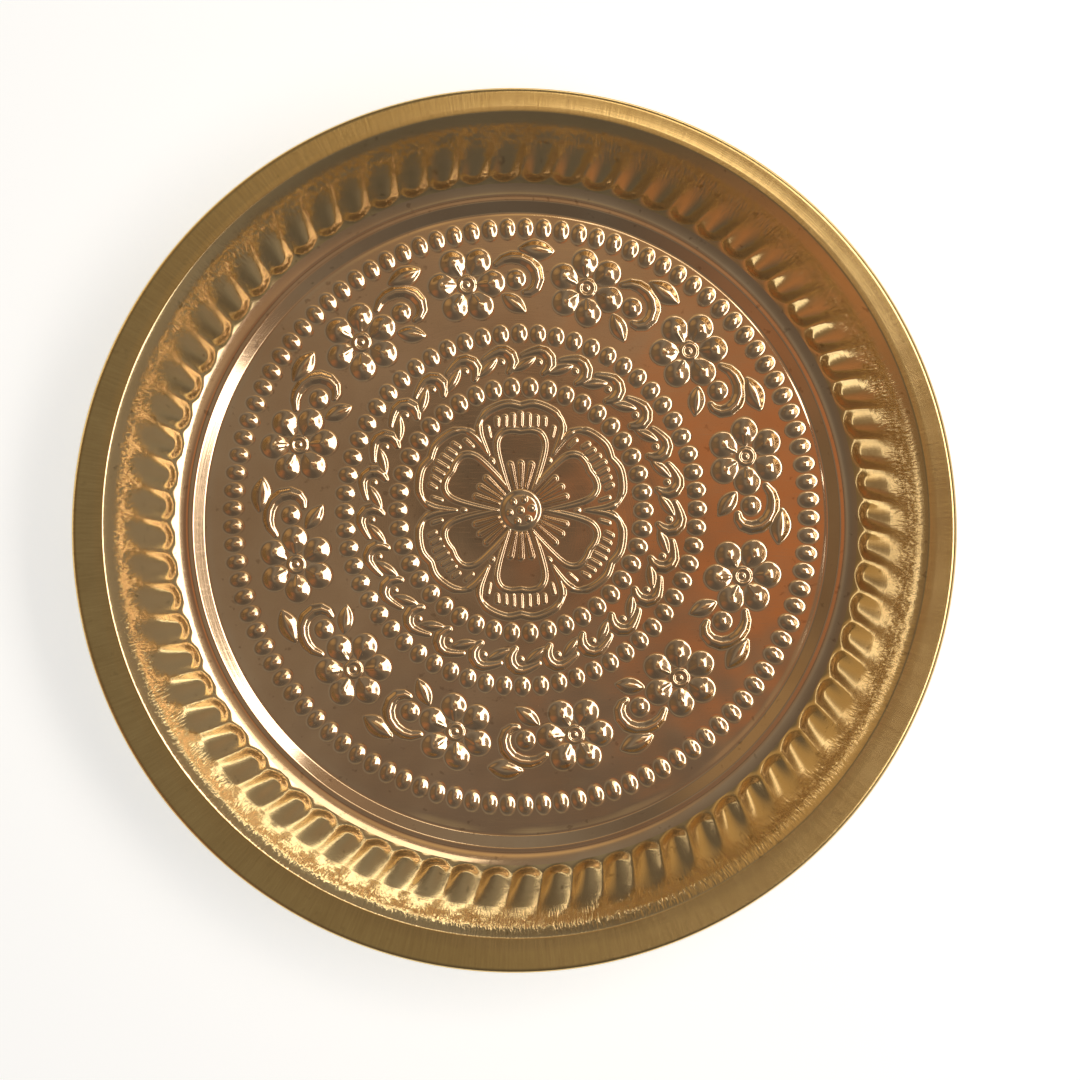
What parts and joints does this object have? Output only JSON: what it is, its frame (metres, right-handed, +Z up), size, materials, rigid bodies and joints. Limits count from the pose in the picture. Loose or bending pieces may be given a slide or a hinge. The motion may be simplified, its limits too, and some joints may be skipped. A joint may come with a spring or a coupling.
{
  "type": "puja thali",
  "caption": "Round brass worship tray with a rolled rim, a wall of slanted gadroons and a flat floor embossed with flowers, beads and scrolls.",
  "frame": {"origin": "on the table under the centre of the rolled edge", "axes": "+Z up through the dish, +Y away from the viewer, +X to the viewer's right"},
  "size_m": [0.25, 0.25, 0.0228],
  "materials": {
    "wire": "drawn",
    "rim": "satin, cross-ground",
    "wall": "polished",
    "floor": "polished, warm tarnish",
    "ornament": "polished, embossed"
  },
  "bodies": {
    "root": {"edge_wire": "wire", "rolled_rim": "rim", "gadrooned_wall": "wall", "floor_pan": "floor", "outer_bead_ring": "ornament", "flower_frieze": "ornament", "curl_sprays": "ornament", "leaf_sprays": "ornament", "middle_bead_ring": "ornament", "running_scroll": "ornament", "inner_bead_ring": "ornament", "centre_flower": "ornament", "petal_strokes": "ornament", "centre_boss": "ornament"}
  },
  "joints": []
}
